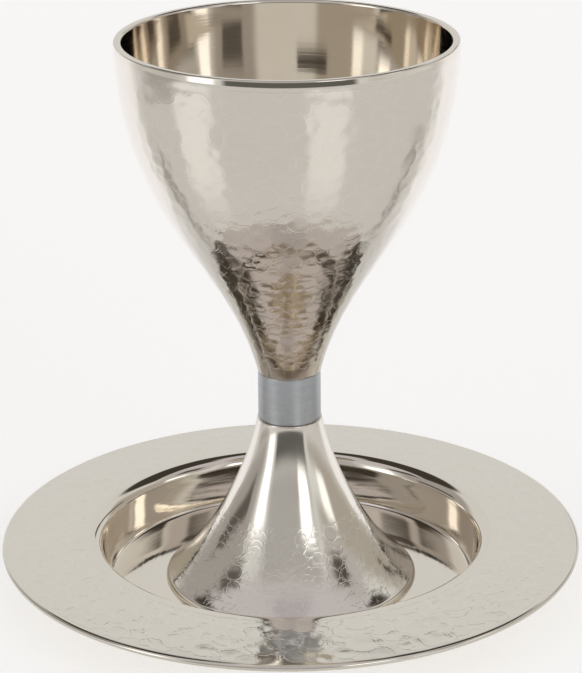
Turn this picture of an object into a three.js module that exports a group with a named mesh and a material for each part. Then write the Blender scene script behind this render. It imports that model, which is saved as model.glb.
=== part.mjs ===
// A stemmed wine goblet in hammered, nickel-plated metal, standing in the well of its saucer.
// Four turned pieces on one upright axis: saucer, foot, collar and bowl.
// Millimetres, +Z up. z = 0 is the flat underside of the saucer.

import * as THREE from 'three';

// Driving dimensions

const saucer = {
  radius: 75,
  thickness: 1.5,
  floorRadius: 47.2,
  wallRadius: 48.85,
  wellDepth: 12.57,
  shoulder: 3.5,
  droop: 1.2,
  innerCorner: 0.8,
  outerCorner: 2,
};

const foot = {
  height: 44.4,
  baseRadius: 32.7,
  neckRadius: 8.3,
  edgeRadius: 2.1,
  edgeTurn: 0.92,
  flare: 15.1,
  neckTaper: 0.15,
  neckReach: 10.8,
  wall: 2,
  top: 3,
};

const collar = {
  radius: 8.03,
  height: 12.7,
  chamfer: 0.3,
};

const bowl = {
  height: 86.66,
  baseRadius: 8.03,
  lipRadius: 42.5,
  wall: 2.2,
  floor: 4,
  hollowStart: 0.08,
  baseFlare: { out: 8, up: 31.3 },
  lipFlare: { out: 1.7, up: 45 },
};

const facets = { saucer: 60, foot: 52, collar: 48, bowl: 56 };

// Where each piece stands

const footZ = saucer.thickness;
const collarZ = footZ + foot.height;
const bowlZ = collarZ + collar.height;

// Outlines: x is the radius and y the height

const point = (radius, height) => new THREE.Vector2(radius, height);

function arc(centre, radius, from, to, steps) {
  return new THREE.EllipseCurve(centre.x, centre.y, radius, radius, from, to, to < from).getPoints(steps);
}

// The curve's points, each moved sideways by gap, to the left of its direction of travel.
function parallel(curve, gap, from, to, steps) {
  return Array.from({ length: steps + 1 }, (_, i) => {
    const t = from + ((to - from) * i) / steps;
    const tangent = curve.getTangent(t);
    const place = curve.getPoint(t);
    return point(place.x - tangent.y * gap, place.y + tangent.x * gap);
  });
}

function turned(name, outline, sides, material) {
  const geometry = new THREE.LatheGeometry(outline, sides);
  geometry.rotateX(Math.PI / 2);
  const mesh = new THREE.Mesh(geometry, material);
  mesh.name = name;
  return mesh;
}

const nickel = (color, roughness) => new THREE.MeshStandardMaterial({ color, roughness, metalness: 1 });

// Saucer: a flat floor, a low wall, and a broad rim that falls away gently to a rounded edge

function saucerOutline() {
  const { radius, thickness, floorRadius, wallRadius, wellDepth, shoulder, droop } = saucer;
  const rimZ = thickness + wellDepth;
  const shoulderCentre = point(wallRadius + shoulder, rimZ - shoulder);
  const edgeCentre = point(radius - thickness / 2, rimZ - droop - thickness / 2);
  const rimStart = point(shoulderCentre.x, rimZ);
  const rimEnd = point(edgeCentre.x, edgeCentre.y + thickness / 2);
  const rimBend = point((rimStart.x + rimEnd.x) / 2, rimZ - droop * 0.25);
  const rim = new THREE.QuadraticBezierCurve(rimStart, rimBend, rimEnd);

  const innerCentre = point(floorRadius - saucer.innerCorner, thickness + saucer.innerCorner);
  const outerCentre = point(floorRadius + thickness - saucer.outerCorner, saucer.outerCorner);
  const quarter = Math.PI / 2;
  return [
    point(0, 0),
    ...arc(outerCentre, saucer.outerCorner, -quarter, 0, 4),
    ...arc(shoulderCentre, shoulder - thickness, Math.PI, quarter, 3),
    ...parallel(rim, -thickness, 0.3, 0.9, 2),
    ...arc(edgeCentre, thickness / 2, -quarter, quarter, 4),
    ...rim.getPoints(3).reverse().slice(1),
    ...arc(shoulderCentre, shoulder, quarter, Math.PI, 5).slice(1),
    ...arc(innerCentre, saucer.innerCorner, 0, -quarter, 2),
    point(0, thickness),
  ];
}

// Foot: a flare that ends in a rounded edge, with an even wall over a hollow that is open below

function footOutline() {
  const { height, baseRadius, neckRadius, edgeRadius, edgeTurn, wall, top } = foot;
  const edge = arc(point(baseRadius - edgeRadius, 0), edgeRadius, 0, edgeTurn, 4);
  const start = edge.pop();
  const heading = point(-Math.sin(edgeTurn), Math.cos(edgeTurn));
  const neck = point(-foot.neckTaper, 1).normalize();
  const end = point(neckRadius, height);
  const flare = new THREE.CubicBezierCurve(
    start,
    start.clone().addScaledVector(heading, foot.flare),
    end.clone().addScaledVector(neck, -foot.neckReach),
    end,
  );
  const inside = parallel(flare, wall, 0.1, 0.9, 6);
  const hollowTop = inside.at(-1);
  return [
    point(0, height - top),
    point(hollowTop.x, height - top),
    ...inside.reverse(),
    point(baseRadius - wall, 0),
    ...edge,
    ...flare.getPoints(9),
    point(0, height),
  ];
}

// Collar: a short plain cylinder with both rims eased

function collarOutline() {
  const { radius, height, chamfer } = collar;
  return [
    point(0, 0),
    point(radius - chamfer, 0),
    point(radius, chamfer),
    point(radius, height - chamfer),
    point(radius - chamfer, height),
    point(0, height),
  ];
}

// Bowl: a tulip curve out of the collar, an even wall, and a round bead for a lip

function bowlOutline() {
  const { height, baseRadius, lipRadius, wall, floor, hollowStart, baseFlare, lipFlare } = bowl;
  const lipZ = height - wall / 2;
  const outside = new THREE.CubicBezierCurve(
    point(baseRadius, 0),
    point(baseRadius + baseFlare.out, baseFlare.up),
    point(lipRadius - lipFlare.out, lipZ - lipFlare.up),
    point(lipRadius, lipZ),
  );
  const inside = parallel(outside, wall, hollowStart, 1, 10);
  const hollowBottom = new THREE.QuadraticBezierCurve(
    inside[0],
    point(inside[0].x, floor),
    point(0, floor),
  );
  return [
    point(0, 0),
    ...outside.getPoints(12),
    ...arc(point(lipRadius - wall / 2, lipZ), wall / 2, 0, Math.PI, 5).slice(1, -1),
    ...inside.reverse(),
    ...hollowBottom.getPoints(3).slice(1),
  ];
}

const saucerMesh = turned('saucer', saucerOutline(), facets.saucer, nickel(0xcdc8bf, 0.2));
const footMesh = turned('foot', footOutline(), facets.foot, nickel(0xb4ada4, 0.22));
const collarMesh = turned('collar', collarOutline(), facets.collar, nickel(0xa8abb0, 0.4));
const bowlMesh = turned('bowl', bowlOutline(), facets.bowl, nickel(0xcdc6bc, 0.2));

footMesh.position.z = footZ;
collarMesh.position.z = collarZ;
bowlMesh.position.z = bowlZ;

const goblet = new THREE.Group();
goblet.add(footMesh, collarMesh, bowlMesh);

const cupAndSaucer = new THREE.Group();
cupAndSaucer.add(saucerMesh, goblet);

export default cupAndSaucer;
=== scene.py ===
import math
import random

import bmesh
import bpy
from mathutils import Matrix, Vector, geometry, kdtree, noise


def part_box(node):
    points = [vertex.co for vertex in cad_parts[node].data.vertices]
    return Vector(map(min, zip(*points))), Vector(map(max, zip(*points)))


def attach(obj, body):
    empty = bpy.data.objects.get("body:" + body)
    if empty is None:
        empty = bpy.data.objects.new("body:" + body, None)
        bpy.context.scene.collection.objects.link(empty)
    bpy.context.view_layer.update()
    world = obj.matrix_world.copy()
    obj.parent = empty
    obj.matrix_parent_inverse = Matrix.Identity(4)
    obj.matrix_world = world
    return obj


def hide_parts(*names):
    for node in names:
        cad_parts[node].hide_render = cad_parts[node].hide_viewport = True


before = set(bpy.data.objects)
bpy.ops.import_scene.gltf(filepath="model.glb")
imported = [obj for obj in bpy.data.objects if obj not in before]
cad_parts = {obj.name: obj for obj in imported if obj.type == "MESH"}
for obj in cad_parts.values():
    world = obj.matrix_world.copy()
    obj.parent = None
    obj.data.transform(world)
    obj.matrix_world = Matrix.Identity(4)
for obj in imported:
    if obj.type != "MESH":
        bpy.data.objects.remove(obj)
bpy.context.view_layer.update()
mm = 0.001
bpy.context.scene.view_settings.view_transform = "Standard"
print("frame loaded")


# points (radius, height) in mm along a bezier curve
def curve(start, pull, push, end, count):
    knots = [Vector((r, z, 0)) for r, z in (start, pull, push, end)]
    return [(p.x, p.y) for p in geometry.interpolate_bezier(*knots, count)]


# points on part of a circle, angles in degrees from the +radius side
def arc(centre, radius, first, last, count):
    angles = [math.radians(first + (last - first) * i / (count - 1)) for i in range(count)]
    return [(centre[0] + radius * math.cos(a), centre[1] + radius * math.sin(a)) for a in angles]


# the same line shifted sideways, positive to its left
def shifted(line, gap):
    moved = []
    for i, (r, z) in enumerate(line):
        before, after = line[max(i - 1, 0)], line[min(i + 1, len(line) - 1)]
        along = Vector((after[0] - before[0], after[1] - before[1])).normalized()
        moved.append((r - along.y * gap, z + along.x * gap))
    return moved


# the line walked again in steps that grow from the first gap to the last, in mm
def stepped(line, firstGap, lastGap):
    lengths = [0.0]
    for a, b in zip(line, line[1:]):
        lengths.append(lengths[-1] + math.dist(a, b))
    total, walked, i, points = lengths[-1], 0.0, 0, [line[0]]
    while True:
        walked += firstGap + (lastGap - firstGap) * walked / total
        if walked > total - 0.5 * lastGap:
            return points + [line[-1]]
        while lengths[i + 1] < walked:
            i += 1
        share = (walked - lengths[i]) / (lengths[i + 1] - lengths[i])
        points.append(tuple(a + (b - a) * share for a, b in zip(line[i], line[i + 1])))


# a closed turned body: the outline starts and ends on the axis
def turned(outline, lift, steps):
    bm = bmesh.new()
    line = [bm.verts.new((r * mm, 0, (z + lift) * mm)) for r, z in outline]
    edges = [bm.edges.new(pair) for pair in zip(line, line[1:])]
    bmesh.ops.spin(bm, geom=line + edges, cent=(0, 0, 0), axis=(0, 0, 1), dvec=(0, 0, 0),
                   angle=2 * math.pi, steps=steps, use_merge=True, use_duplicate=False)
    bmesh.ops.remove_doubles(bm, verts=bm.verts[:], dist=0.000004)
    bmesh.ops.recalc_face_normals(bm, faces=bm.faces[:])
    bm.normal_update()
    return bm


# how far and how deep single blows go beside the usual one, and how closely their rows overlap
blowReach, blowDepth, rowOverlap = (0.42, 0.86), (0.3, 1.3), 0.84


# where the blows fall: rows of blows up the outline, each row round the body; a blow is its place,
# its reach, its depth and its turn in the order of work
def blowsOn(line, lift, marks):
    dice = random.Random(marks["seed"])
    lengths = [0.0]
    for a, b in zip(line, line[1:]):
        lengths.append(lengths[-1] + math.dist(a, b))
    blows, walked, i = [], 0.0, 0
    while walked < lengths[-1]:
        share = walked / lengths[-1]
        size = marks["firstSize"] + (marks["lastSize"] - marks["firstSize"]) * share
        depth = marks["firstDepth"] + (marks["lastDepth"] - marks["firstDepth"]) * share
        while i + 2 < len(lengths) and lengths[i + 1] < walked:
            i += 1
        r, z = line[i]
        count = max(6, round(2 * math.pi * r / size))
        turn = dice.uniform(0, 2 * math.pi)
        for k in range(count):
            strayed = i + round(dice.gauss(0, marks["stray"]) * size / marks["rowGap"])
            r, z = line[min(len(line) - 1, max(0, strayed))]
            angle = turn + (k + dice.gauss(0, marks["stray"])) * 2 * math.pi / count
            place = Vector((r * math.cos(angle), r * math.sin(angle), z + lift)) * mm
            reach = size * dice.uniform(*blowReach) * mm
            dent = depth * dice.uniform(*blowDepth) * mm
            blows.append((place, reach, dent, dice.random()))
        walked += size * rowOverlap
    return blows


# pushes the skin in under each blow, raises its edge a little, and keeps for the finish how far
# each point is from the latest blow that covers it: 0 at its middle, 1 at its edge
def hammer(bm, blows, fade):
    tree = kdtree.KDTree(len(blows))
    for i, blow in enumerate(blows):
        tree.insert(blow[0], i)
    tree.balance()
    mark = bm.verts.layers.float.new("blow")
    moves = []
    for vert in bm.verts:
        vert[mark] = 2.0
        amount = fade(vert)
        if amount <= 0:
            continue
        dip, latest, reach = 0.0, -1.0, 2.0
        for place, i, distance in tree.find_n(vert.co, 6):
            share = distance / blows[i][1]
            if share < 1:
                dip = max(dip, blows[i][2] * (1 - share * share) ** 2)
            if share < 1.15 and blows[i][3] > latest:
                latest, reach = blows[i][3], share
        vert[mark] = reach if amount > 0.3 else 2.0
        lip = 0.15 * dip * math.exp(-((reach - 1.0) / 0.15) ** 2)
        moves.append((vert, vert.normal * (-(dip - lip) * amount)))
    for vert, move in moves:
        vert.co += move


# the slow unevenness that hand work leaves in sheet metal
def uneven(bm, height, pitch):
    shifts = [vert.normal * noise.noise(vert.co / (pitch * mm)) * height * mm for vert in bm.verts]
    for vert, shift in zip(bm.verts, shifts):
        vert.co += shift


def smooth(low, high, value):
    t = min(1.0, max(0.0, (value - low) / (high - low)))
    return t * t * (3 - 2 * t)


# the mesh becomes an object that rides with the cup and stands for its plain solid
def finished(bm, name, node, materials):
    for face in bm.faces:
        face.smooth = True
    mesh = bpy.data.meshes.new(name)
    bm.to_mesh(mesh)
    bm.free()
    for material in materials:
        mesh.materials.append(material)
    piece = bpy.data.objects.new(name, mesh)
    bpy.context.scene.collection.objects.link(piece)
    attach(piece, "root")
    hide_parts(node)
    print(name, len(mesh.polygons), "faces")
    return piece


def colour(hexCode):
    parts = [int(hexCode[i:i + 2], 16) / 255 for i in (1, 3, 5)]
    return [c / 12.92 if c <= 0.04045 else ((c + 0.055) / 1.055) ** 2.4 for c in parts] + [1.0]


# adds one node: its settings by name, its sockets by value or by link
def addNode(tree, kind, sockets=None, **settings):
    node = tree.nodes.new("ShaderNode" + kind)
    for key, value in settings.items():
        setattr(node, key, value)
    for key, value in (sockets or {}).items():
        if isinstance(value, bpy.types.NodeSocket):
            tree.links.new(value, node.inputs[key])
        else:
            node.inputs[key].default_value = value
    return node


def newMaterial(name):
    material = bpy.data.materials.new(name)
    material.use_nodes = True
    material.node_tree.nodes.clear()
    return material, material.node_tree


# the lighter edge colour and its share are a painted highlight along each blow's edge
nickel = {
    "hollow": "#EDE7DD", "highlightTint": "#F4EFE7", "cool": "#F1ECE4", "highlightAmount": 0.5,
    "glossiest": 0.06, "dullest": 0.14, "cloudSize": 11.765, "rubSize": 0.625,
    "ringHeight": 0.01, "rubHeight": 0.01, "rubStrength": 0.25,
}


# a pattern's scale from the size of one patch of it in mm
def scaleFor(size):
    return 1 / (size * mm)


# nickel plate over planished brass: soft hollows, with a painted highlight: each blow's edge is painted a
# little brighter
def hammeredNickel(values):
    material, tree = newMaterial("hammeredNickelPlate")
    place = addNode(tree, "TexCoord").outputs["Object"]
    blow = addNode(tree, "Attribute", attribute_name="blow").outputs["Fac"]
    # a thin ring where each blow ends
    inside = addNode(tree, "MapRange", {"Value": blow, "From Min": 0.86, "From Max": 0.98},
                     interpolation_type="SMOOTHSTEP").outputs["Result"]
    outside = addNode(tree, "MapRange", {"Value": blow, "From Min": 1.1, "From Max": 0.98},
                      interpolation_type="SMOOTHSTEP").outputs["Result"]
    ring = addNode(tree, "Math", {0: inside, 1: outside}, operation="MULTIPLY").outputs[0]
    # cloudy tarnish, patches about 12 mm across
    cloud = addNode(tree, "TexNoise", {"Vector": place, "Scale": scaleFor(values["cloudSize"]),
                                       "Detail": 3.0, "Roughness": 0.6}).outputs["Fac"]
    tint = addNode(tree, "Mix", {"Factor": cloud, "A": colour(values["hollow"]),
                                 "B": colour(values["cool"])}, data_type="RGBA").outputs["Result"]
    # painted highlight: the thin ring at each blow's edge is mixed towards the lighter colour
    highlightAmount = addNode(tree, "Math", {0: ring, 1: values["highlightAmount"]}, operation="MULTIPLY").outputs[0]
    highlightTint = addNode(tree, "Mix", {"Factor": highlightAmount, "A": tint, "B": colour(values["highlightTint"])},
                   data_type="RGBA").outputs["Result"]
    # rubbing marks, about 0.6 mm, drawn coarser than the real polishing scratches
    rub = addNode(tree, "TexNoise", {"Vector": place, "Scale": scaleFor(values["rubSize"]),
                                     "Detail": 2.0, "Roughness": 0.55}).outputs["Fac"]
    rough = addNode(tree, "MapRange", {"Value": cloud, "From Min": 0.3, "From Max": 0.7,
                                       "To Min": values["glossiest"],
                                       "To Max": values["dullest"]}).outputs["Result"]
    edges = addNode(tree, "Bump", {"Strength": 1.0, "Distance": values["ringHeight"] * mm,
                                   "Height": ring}).outputs["Normal"]
    skin = addNode(tree, "Bump", {"Strength": values["rubStrength"], "Distance": values["rubHeight"] * mm,
                                  "Height": rub, "Normal": edges}).outputs["Normal"]
    shader = addNode(tree, "BsdfPrincipled", {"Base Color": highlightTint, "Metallic": 1.0, "Roughness": rough,
                                              "Normal": skin})
    addNode(tree, "OutputMaterial", {"Surface": shader.outputs["BSDF"]})
    return material


polish = {
    "tint": "#F1EBE2", "warm": "#EBE3D8", "glossiest": 0.03, "dullest": 0.09,
    "linePitch": 0.7, "lineHeight": 0.02, "lineStrength": 0.35, "cloudSize": 16.667,
}


# nickel plate polished on the lathe: fine rings round the axis, nearly a mirror
def polishedNickel(values):
    material, tree = newMaterial("polishedNickelPlate")
    place = addNode(tree, "TexCoord").outputs["Object"]
    axes = addNode(tree, "SeparateXYZ", {"Vector": place})
    flat = addNode(tree, "CombineXYZ", {"X": axes.outputs["X"], "Y": axes.outputs["Y"]})
    radius = addNode(tree, "VectorMath", {0: flat.outputs["Vector"]}, operation="LENGTH")
    lathe = addNode(tree, "CombineXYZ", {"X": radius.outputs["Value"], "Y": axes.outputs["Z"]})
    # turning rings, about 0.7 mm apart
    rings = addNode(tree, "TexNoise", {"Vector": lathe.outputs["Vector"],
                                       "Scale": scaleFor(values["linePitch"]),
                                       "Detail": 2.0, "Roughness": 0.5}).outputs["Fac"]
    cloud = addNode(tree, "TexNoise", {"Vector": place, "Scale": scaleFor(values["cloudSize"]),
                                       "Detail": 3.0, "Roughness": 0.6}).outputs["Fac"]
    tint = addNode(tree, "Mix", {"Factor": cloud, "A": colour(values["tint"]),
                                 "B": colour(values["warm"])}, data_type="RGBA").outputs["Result"]
    rough = addNode(tree, "MapRange", {"Value": rings, "From Min": 0.3, "From Max": 0.7,
                                       "To Min": values["glossiest"],
                                       "To Max": values["dullest"]}).outputs["Result"]
    bump = addNode(tree, "Bump", {"Strength": values["lineStrength"],
                                  "Distance": values["lineHeight"] * mm, "Height": rings})
    shader = addNode(tree, "BsdfPrincipled", {"Base Color": tint, "Metallic": 1.0, "Roughness": rough,
                                              "Normal": bump.outputs["Normal"]})
    addNode(tree, "OutputMaterial", {"Surface": shader.outputs["BSDF"]})
    return material


satin = {
    "tint": "#C4C7CA", "deep": "#B6B9BE", "glossiest": 0.29, "dullest": 0.39,
    "linePitch": 0.35714, "lineStretch": 0.05, "grainSize": 1.1111, "height": 0.01, "strength": 0.3,
}


# clear anodised aluminium, turned and matt etched: grey, soft wide highlights, faint lines round it
def satinAluminium(values):
    material, tree = newMaterial("satinAnodisedAluminium")
    place = addNode(tree, "TexCoord").outputs["Object"]
    # turning lines about 0.36 mm apart, long round the collar
    long = (values["lineStretch"], values["lineStretch"], 1.0)
    stretched = addNode(tree, "Mapping", {"Vector": place, "Scale": long}).outputs["Vector"]
    lines = addNode(tree, "TexNoise", {"Vector": stretched, "Scale": scaleFor(values["linePitch"]),
                                       "Detail": 2.0}).outputs["Fac"]
    grain = addNode(tree, "TexNoise", {"Vector": place, "Scale": scaleFor(values["grainSize"]),
                                       "Detail": 3.0, "Roughness": 0.6}).outputs["Fac"]
    both = addNode(tree, "Math", {0: lines, 1: grain}, operation="ADD").outputs[0]
    blend = addNode(tree, "MapRange", {"Value": both, "From Min": 0.7, "From Max": 1.3}).outputs["Result"]
    tint = addNode(tree, "Mix", {"Factor": blend, "A": colour(values["deep"]),
                                 "B": colour(values["tint"])}, data_type="RGBA").outputs["Result"]
    rough = addNode(tree, "MapRange", {"Value": grain, "From Min": 0.3, "From Max": 0.7,
                                       "To Min": values["glossiest"],
                                       "To Max": values["dullest"]}).outputs["Result"]
    bump = addNode(tree, "Bump", {"Strength": values["strength"], "Distance": values["height"] * mm,
                                  "Height": both})
    shader = addNode(tree, "BsdfPrincipled", {"Base Color": tint, "Metallic": 1.0, "Roughness": rough,
                                              "Normal": bump.outputs["Normal"]})
    addNode(tree, "OutputMaterial", {"Surface": shader.outputs["BSDF"]})
    return material


hammered = hammeredNickel(nickel)
polished = polishedNickel(polish)
aluminium = satinAluminium(satin)
print("finishes made")


# the drinking bowl, sizes in mm; its height is the frame's
bowl = {
    "baseRadius": 8.03, "lipRadius": 42.5, "wall": 2.2, "lipRound": 1.1, "floor": 4.0,
    "baseOut": 8.0, "baseUp": 31.3, "lipOut": 1.7, "lipUp": 45.0,
    "band": 1.7, "bandLean": 0.2, "outerEdge": 0.46, "innerEdge": 0.7,
    "sides": 380, "firstRow": 0.34, "lastRow": 0.54,
}
bowlMarks = {"seed": 7, "firstSize": 2.5, "lastSize": 4.4, "firstDepth": 0.035, "lastDepth": 0.09,
             "stray": 0.24, "rowGap": 0.48}


def makeBowl(values, marks):
    low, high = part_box("bowl")
    lift, top = low.z / mm, (high.z - low.z) / mm
    crown = top - values["lipRound"]
    start, end = (values["baseRadius"], 0.0), (values["lipRadius"], crown)
    pull = (start[0] + values["baseOut"], values["baseUp"])
    push = (end[0] - values["lipOut"], crown - values["lipUp"])
    side = [p for p in curve(start, pull, push, end, 400) if p[1] < top - values["band"]]
    outer = stepped(side, values["firstRow"], values["lastRow"])
    # the lip: a band ground true, leaning a little inwards, with a tight outer and a softer inner edge
    tight, soft = values["outerEdge"], values["innerEdge"]
    shoulder = (values["lipRadius"] - values["bandLean"], top - tight)
    bandLine = stepped([(outer[-1][0], outer[-1][1] + 0.15), shoulder], 0.35, 0.35)
    lip = bandLine + arc((shoulder[0] - tight, shoulder[1]), tight, 15, 90, 5)
    lip += arc((values["lipRadius"] - values["wall"] + soft, top - soft), soft, 90, 180, 6)
    inner = shifted(curve(start, pull, push, end, 26), values["wall"])[3:-1][::-1]
    # the inside closes in a rounded bottom
    reach, rise = inner[-1][0], inner[-1][1] - values["floor"]
    well = [(reach * s, values["floor"] + rise * s * s) for s in (0.8, 0.5, 0.25)]
    under = [(start[0] * s, 0.0) for s in (0.0, 0.4, 0.8, 0.96)]
    bm = turned(under + outer + lip + inner + well + [(0.0, values["floor"])], lift, values["sides"])

    # only the outer skin is hammered, and the blows stop short of the lip and of the collar
    def fade(vert):
        z = vert.co.z / mm - lift
        if vert.normal.x * vert.co.x + vert.normal.y * vert.co.y < 0 or z < 0.5:
            return 0.0
        return smooth(1.5, 6.0, z) * (1 - smooth(top - 4.0, top - 1.9, z))

    hammer(bm, blowsOn(outer, lift, marks), fade)
    uneven(bm, 0.03, 8.0)
    for face in bm.faces:
        middle = face.calc_center_median()
        out = face.normal.x * middle.x + face.normal.y * middle.y > 0
        face.material_index = 0 if out and middle.z / mm - lift < top - 1.9 else 1
    return finished(bm, "hammeredBowl", "bowl", [hammered, polished])


makeBowl(bowl, bowlMarks)


# the plain ring between the bowl and the foot
collar = {"radius": 8.03, "bevel": 0.3, "sides": 180, "row": 0.5}


def makeCollar(values):
    low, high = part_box("collar")
    lift, tall = low.z / mm, (high.z - low.z) / mm
    r, b = values["radius"], values["bevel"]
    side = stepped([(r, b), (r, tall - b)], values["row"], values["row"])
    bottom = arc((r - b, b), b, -90, 0, 5)[:-1]
    crown = arc((r - b, tall - b), b, 0, 90, 5)[1:]
    outline = [(0, 0), (r * 0.5, 0)] + bottom + side + crown + [(r * 0.5, tall), (0, tall)]
    bm = turned(outline, lift, values["sides"])
    return finished(bm, "satinCollar", "collar", [aluminium])


makeCollar(collar)


# the trumpet foot, hollow from below; edgeTurn is how far its base edge rolls in, in radians
foot = {
    "baseRadius": 32.7, "neckRadius": 8.3, "edge": 2.1, "edgeTurn": 0.92, "flare": 15.1,
    "neckTaper": 0.15, "neckReach": 10.8, "wall": 2.0, "top": 3.0, "sides": 320, "row": 0.36,
}
footMarks = {"seed": 19, "firstSize": 2.6, "lastSize": 2.2, "firstDepth": 0.022, "lastDepth": 0.016,
             "stray": 0.24, "rowGap": 0.36}


def makeFoot(values, marks):
    low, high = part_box("foot")
    lift, tall = low.z / mm, (high.z - low.z) / mm
    turn = values["edgeTurn"]
    edge = arc((values["baseRadius"] - values["edge"], 0), values["edge"], 0, math.degrees(turn), 12)
    start, end = edge[-1], (values["neckRadius"], tall)
    pull = (start[0] - math.sin(turn) * values["flare"], start[1] + math.cos(turn) * values["flare"])
    lean = Vector((-values["neckTaper"], 1)).normalized() * values["neckReach"]
    push = (end[0] - lean.x, end[1] - lean.y)
    bell = stepped(curve(start, pull, push, end, 300), values["row"], values["row"])
    inner = shifted(curve(start, pull, push, end, 40), values["wall"])
    inner = [p for p in inner if p[1] < tall - values["top"]][3:]
    ceiling = tall - values["top"]
    roof = [(inner[-1][0], ceiling), (inner[-1][0] * 0.5, ceiling), (0, ceiling)]
    crown = [(end[0] * s, tall) for s in (0.96, 0.5, 0.0)]
    seat = [(inner[0][0], 0.0), (values["baseRadius"] - 1.2, 0.0)]
    bm = turned(roof[::-1] + inner[::-1] + seat + edge + bell[1:] + crown, lift, values["sides"])

    # the blows fade out half-way up the bell
    def fade(vert):
        z = vert.co.z / mm - lift
        if vert.normal.x * vert.co.x + vert.normal.y * vert.co.y < 0:
            return 0.0
        return smooth(1.0, 3.0, z) * (1 - smooth(14.0, 24.0, z))

    hammer(bm, blowsOn(bell, lift, marks), fade)
    uneven(bm, 0.03, 6.0)
    return finished(bm, "bellFoot", "foot", [hammered])


makeFoot(foot, footMarks)


# the saucer: a flat well, a steep wall and a wide rim that falls a little to its edge
saucer = {
    "radius": 75.0, "thick": 1.5, "floorRadius": 47.2, "wallRadius": 48.85, "shoulder": 3.5,
    "innerCorner": 0.8, "outerCorner": 2.0, "droop": 1.2, "sides": 480, "row": 0.55,
}
saucerMarks = {"seed": 31, "firstSize": 4.4, "lastSize": 4.4, "firstDepth": 0.07, "lastDepth": 0.07,
               "stray": 0.24, "rowGap": 0.55}


def makeSaucer(values, marks):
    low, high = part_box("saucer")
    top, t = (high.z - low.z) / mm, values["thick"]
    r, s = values["wallRadius"], values["shoulder"]
    edgeRadius = t / 2
    outerEnd = (values["radius"] - edgeRadius, top - values["droop"])
    crest = (r + s, top)
    bend = ((crest[0] + outerEnd[0]) / 2, top - values["droop"] * 0.25)
    pull, push = [tuple(a + (b - a) * 2 / 3 for a, b in zip(end, bend)) for end in (crest, outerEnd)]
    rim = curve(crest, pull, push, outerEnd, 80)
    deck = stepped(rim, values["row"], values["row"])
    shoulderLine = arc((crest[0], top - s), s, 180, 90, 14)
    wall = stepped([(values["floorRadius"], t + values["innerCorner"]), (r, top - s)], 1.2, 1.2)
    inner = values["innerCorner"]
    corner = arc((values["floorRadius"] - inner, t + inner), inner, -90, 0, 6)
    floor = [(x, t) for x in (0.0, 8.0, 16.0, 22.0, 28.0, 33.0, 37.0, 41.0, 44.0)]
    edge = arc((outerEnd[0], outerEnd[1] - edgeRadius), edgeRadius, 90, -90, 9)[1:-1]
    below = shifted(rim, -t)[::-8]
    outer, heel = values["outerCorner"], values["floorRadius"] + t
    under = arc((crest[0], top - s), s - t, 90, 180, 8)[1:]
    turnUp = arc((heel - outer, outer), outer, 0, -90, 7)
    base = [(x, 0.0) for x in (40.0, 30.0, 20.0, 10.0, 0.0)]
    outline = floor + corner[:-1] + wall[:-1] + shoulderLine[:-1] + deck
    outline += edge + below + under + turnUp + base
    bm = turned(outline, 0.0, values["sides"])
    first, last = crest[0] + 0.5, values["radius"] - 0.9

    # only the top of the rim is hammered, between the shoulder and the outer edge
    def fade(vert):
        if vert.normal.z < 0.5:
            return 0.0
        out = math.hypot(vert.co.x, vert.co.y) / mm
        return smooth(first, first + 2.0, out) * (1 - smooth(last - 1.0, last, out))

    hammer(bm, blowsOn(deck, 0.0, marks), fade)
    uneven(bm, 0.025, 9.0)
    for face in bm.faces:
        middle = face.calc_center_median()
        out = math.hypot(middle.x, middle.y) / mm
        face.material_index = 0 if out > crest[0] and face.normal.z > 0 else 1
    return finished(bm, "rimmedSaucer", "saucer", [hammered, polished])


makeSaucer(saucer, saucerMarks)


# patches of light that the metal mirrors: where each starts, in degrees of compass turn (0 behind the
# cup, 90 to its right) and in height or distance, how soft its edges are, and how bright it is
def addPatches(tree, turn, level, patches, base, unit):
    light = base
    for patch in patches:
        wide, soft = math.radians(patch["wide"]), math.radians(patch["soft"])
        away = addNode(tree, "Math", {0: turn, 1: math.radians(patch["turn"])}, operation="SUBTRACT")
        nearest = addNode(tree, "Math", {0: away.outputs[0], 1: math.pi, 2: -math.pi}, operation="WRAP")
        side = addNode(tree, "Math", {0: nearest.outputs[0]}, operation="ABSOLUTE")
        across = addNode(tree, "MapRange", {"Value": side.outputs[0], "From Min": wide + soft,
                                            "From Max": wide - soft}, interpolation_type="SMOOTHSTEP")
        above = addNode(tree, "Math", {0: level, 1: patch["level"] * unit}, operation="SUBTRACT")
        off = addNode(tree, "Math", {0: above.outputs[0]}, operation="ABSOLUTE")
        reach, blur = patch["reach"] * unit, patch["blur"] * unit
        along = addNode(tree, "MapRange", {"Value": off.outputs[0], "From Min": reach + blur,
                                           "From Max": reach - blur}, interpolation_type="SMOOTHSTEP")
        mask = addNode(tree, "Math", {0: across.outputs["Result"], 1: along.outputs["Result"]},
                       operation="MULTIPLY")
        light = addNode(tree, "Mix", {"Factor": mask.outputs[0], "A": light, "B": (*patch["light"], 1.0)},
                        data_type="RGBA").outputs["Result"]
    return light


table = {"paint": "#E8E8E6", "glow": 0.56, "mirrored": (0.25, 0.25, 0.245, 1.0), "size": 1.6}
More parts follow.
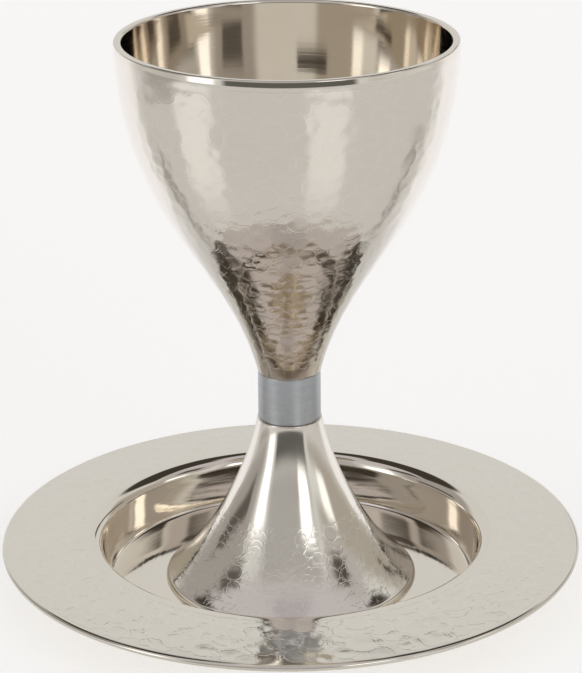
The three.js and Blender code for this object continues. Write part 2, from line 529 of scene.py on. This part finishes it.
# on the table, levels are distances from the cup in mm; all are painted light and shade in its glow: a painted
# brighter stretch behind the cup, two painted pools of light in front of it, a painted dark left edge, and two
# weak painted shadows
paintedTableLight = [
    {"turn": 0, "wide": 62, "soft": 9, "level": 1100, "reach": 960, "blur": 50, "light": (0.6, 0.6, 0.62)},
    {"turn": 268, "wide": 16, "soft": 6, "level": 1000, "reach": 620, "blur": 60, "light": (0.05, 0.04, 0.03)},
    {"turn": 245, "wide": 13, "soft": 4, "level": 270, "reach": 150, "blur": 50, "light": (0.46, 0.46, 0.45)},
    {"turn": 153, "wide": 13, "soft": 4, "level": 260, "reach": 150, "blur": 50, "light": (0.43, 0.43, 0.42)},
    {"turn": 284, "wide": 4, "soft": 3, "level": 160, "reach": 80, "blur": 30, "light": (0.02, 0.01, 0.0)},
    {"turn": 78, "wide": 4, "soft": 3, "level": 170, "reach": 90, "blur": 30, "light": (0.02, 0.01, 0.0)},
]


def makeTable(values, patches):
    bm = bmesh.new()
    bmesh.ops.create_grid(bm, x_segments=8, y_segments=8, size=values["size"])
    mesh = bpy.data.meshes.new("tableTop")
    bm.to_mesh(mesh)
    bm.free()
    top = bpy.data.objects.new("tableTop", mesh)
    bpy.context.scene.collection.objects.link(top)
    material, tree = newMaterial("paleTable")
    place = addNode(tree, "TexCoord").outputs["Object"]
    axes = addNode(tree, "SeparateXYZ", {"Vector": place})
    turn = addNode(tree, "Math", {0: axes.outputs["X"], 1: axes.outputs["Y"]}, operation="ARCTAN2")
    away = addNode(tree, "VectorMath", {0: place}, operation="LENGTH")
    # the glow the metal mirrors: painted pools of light and painted shadows on the table
    mirrored = addPatches(tree, turn.outputs[0], away.outputs["Value"], patches, values["mirrored"], mm)
    # glows evenly to paper white for the eye; for the metal it glows with the painted pools of light and
    # painted shadows
    seen = addNode(tree, "LightPath").outputs["Is Camera Ray"]
    glow = (values["glow"], values["glow"], values["glow"], 1.0)
    lit = addNode(tree, "Mix", {"Factor": seen, "A": mirrored, "B": glow}, data_type="RGBA")
    shader = addNode(tree, "BsdfPrincipled", {"Base Color": colour(values["paint"]), "Roughness": 0.7,
                                              "Emission Color": lit.outputs["Result"],
                                              "Emission Strength": 1.0})
    addNode(tree, "OutputMaterial", {"Surface": shader.outputs["BSDF"]})
    mesh.materials.append(material)


makeTable(table, paintedTableLight)

room = {"backdrop": (0.70, 0.70, 0.68, 1.0), "seen": (1.0, 1.0, 1.0, 1.0)}
# in the room, levels are heights above the horizon in degrees: the ceiling and its dark back, the
# side walls, the window lights, and dark stands between them
roomPatches = [
    {"turn": 0, "wide": 180, "soft": 1, "level": 90, "reach": 48, "blur": 6, "light": (0.57, 0.545, 0.56)},
    {"turn": 180, "wide": 30, "soft": 10, "level": 80, "reach": 22, "blur": 6, "light": (0.46, 0.44, 0.46)},
    {"turn": 84, "wide": 42, "soft": 6, "level": 15, "reach": 14, "blur": 6, "light": (0.43, 0.40, 0.35)},
    {"turn": 284, "wide": 32, "soft": 7, "level": 20, "reach": 22, "blur": 7, "light": (0.38, 0.36, 0.34)},
    {"turn": 104, "wide": 22, "soft": 5, "level": 37, "reach": 12, "blur": 5, "light": (0.50, 0.48, 0.47)},
    {"turn": 180, "wide": 44, "soft": 6, "level": 32, "reach": 18, "blur": 6, "light": (0.44, 0.43, 0.42)},
    {"turn": 0, "wide": 77, "soft": 3, "level": 54, "reach": 15.5, "blur": 2.5, "light": (0.05, 0.043, 0.035)},
    {"turn": 109, "wide": 9, "soft": 3, "level": 38, "reach": 6, "blur": 3, "light": (0.08, 0.07, 0.06)},
    {"turn": 262, "wide": 12, "soft": 3, "level": 38, "reach": 5, "blur": 3, "light": (0.08, 0.07, 0.06)},
    {"turn": 281, "wide": 16, "soft": 2, "level": 13, "reach": 4, "blur": 2, "light": (0.11, 0.10, 0.09)},
    {"turn": 36, "wide": 22, "soft": 2, "level": 17, "reach": 1.8, "blur": 1, "light": (0.07, 0.06, 0.05)},
    {"turn": 178, "wide": 43, "soft": 3, "level": 4, "reach": 9, "blur": 3, "light": (0.12, 0.12, 0.11)},
    {"turn": 116, "wide": 16, "soft": 3, "level": 15, "reach": 5, "blur": 3, "light": (0.75, 0.75, 0.73)},
    {"turn": 105, "wide": 8, "soft": 3, "level": 16, "reach": 5, "blur": 3, "light": (1.3, 1.3, 1.26)},
    {"turn": 150, "wide": 10, "soft": 3, "level": 25, "reach": 10, "blur": 3, "light": (1.7, 1.7, 1.65)},
    {"turn": 237, "wide": 9, "soft": 3, "level": 8, "reach": 20, "blur": 3, "light": (1.5, 1.5, 1.5)},
]


def makeRoom(values, patches):
    world = bpy.data.worlds.new("studioRoom")
    bpy.context.scene.world = world
    world.use_nodes = True
    tree = world.node_tree
    tree.nodes.clear()
    way = addNode(tree, "TexCoord").outputs["Generated"]
    axes = addNode(tree, "SeparateXYZ", {"Vector": way})
    turn = addNode(tree, "Math", {0: axes.outputs["X"], 1: axes.outputs["Y"]}, operation="ARCTAN2")
    height = addNode(tree, "Math", {0: axes.outputs["Z"]}, operation="ARCSINE")
    light = addPatches(tree, turn.outputs[0], height.outputs[0], patches, values["backdrop"],
                       math.radians(1))
    lit = addNode(tree, "Background", {"Color": light})
    plain = addNode(tree, "Background", {"Color": values["seen"]})
    seen = addNode(tree, "LightPath").outputs["Is Camera Ray"]
    both = addNode(tree, "MixShader", {0: seen, 1: lit.outputs[0], 2: plain.outputs[0]})
    addNode(tree, "OutputWorld", {"Surface": both.outputs[0]})


makeRoom(room, roomPatches)

view = {"back": 602.3, "up": 291.95, "side": 0.5, "downward": 20.442, "roll": -0.426, "lens": 135.27}


def makeCamera(values):
    data = bpy.data.cameras.new("studioCamera")
    data.lens, data.sensor_width, data.sensor_fit = values["lens"], 36.0, "AUTO"
    data.clip_start, data.clip_end = 0.01, 20.0
    camera = bpy.data.objects.new("studioCamera", data)
    bpy.context.scene.collection.objects.link(camera)
    place = Matrix.Translation(Vector((values["side"], -values["back"], values["up"])) * mm)
    tilt = Matrix.Rotation(math.radians(90 - values["downward"]), 4, "X")
    camera.matrix_world = place @ tilt @ Matrix.Rotation(math.radians(values["roll"]), 4, "Z")
    bpy.context.scene.camera = camera


makeCamera(view)
print("room and camera ready")
